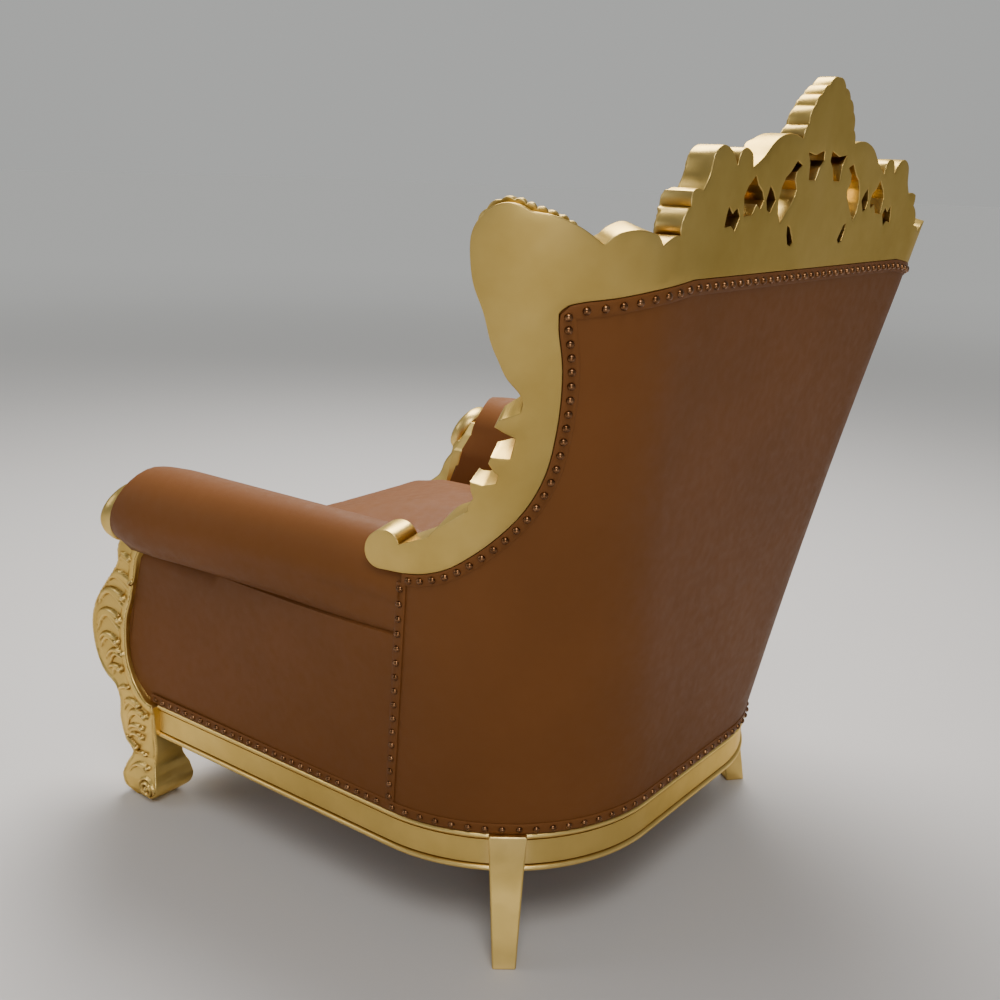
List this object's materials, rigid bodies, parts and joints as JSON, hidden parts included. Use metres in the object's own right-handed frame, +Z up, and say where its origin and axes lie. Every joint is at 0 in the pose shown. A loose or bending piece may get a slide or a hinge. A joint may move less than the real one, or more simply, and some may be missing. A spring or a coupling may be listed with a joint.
{
  "type": "throne",
  "caption": "Wide upholstered throne: gilded carved and pierced crest wrapping round as wings, leather tub, rolled arms behind carved S-shaped posts, loose crowned cushion.",
  "frame": {"origin": "on the floor, at the middle of the throne's footprint (bottom centre of its bounding box)", "axes": "+Z up, the sitter faces -Y, +X is the sitter's left-hand side"},
  "size_m": [1.2168, 1.1679, 1.3],
  "materials": {
    "gilding": "carved hardwood under satin champagne-gold leaf",
    "leather": "satin chestnut-brown upholstery leather"
  },
  "bodies": {
    "root": {"crest_frame": "gilding", "front_post_left": "gilding", "front_post_right": "gilding", "side_rail_left": "gilding", "side_rail_right": "gilding", "back_rail": "gilding", "front_rail": "gilding", "rear_leg_left": "gilding", "rear_leg_right": "gilding", "tub_upholstery": "leather", "arm_left": "leather", "arm_right": "leather", "seat_deck": "leather", "seat_cushion": "leather"}
  },
  "joints": []
}
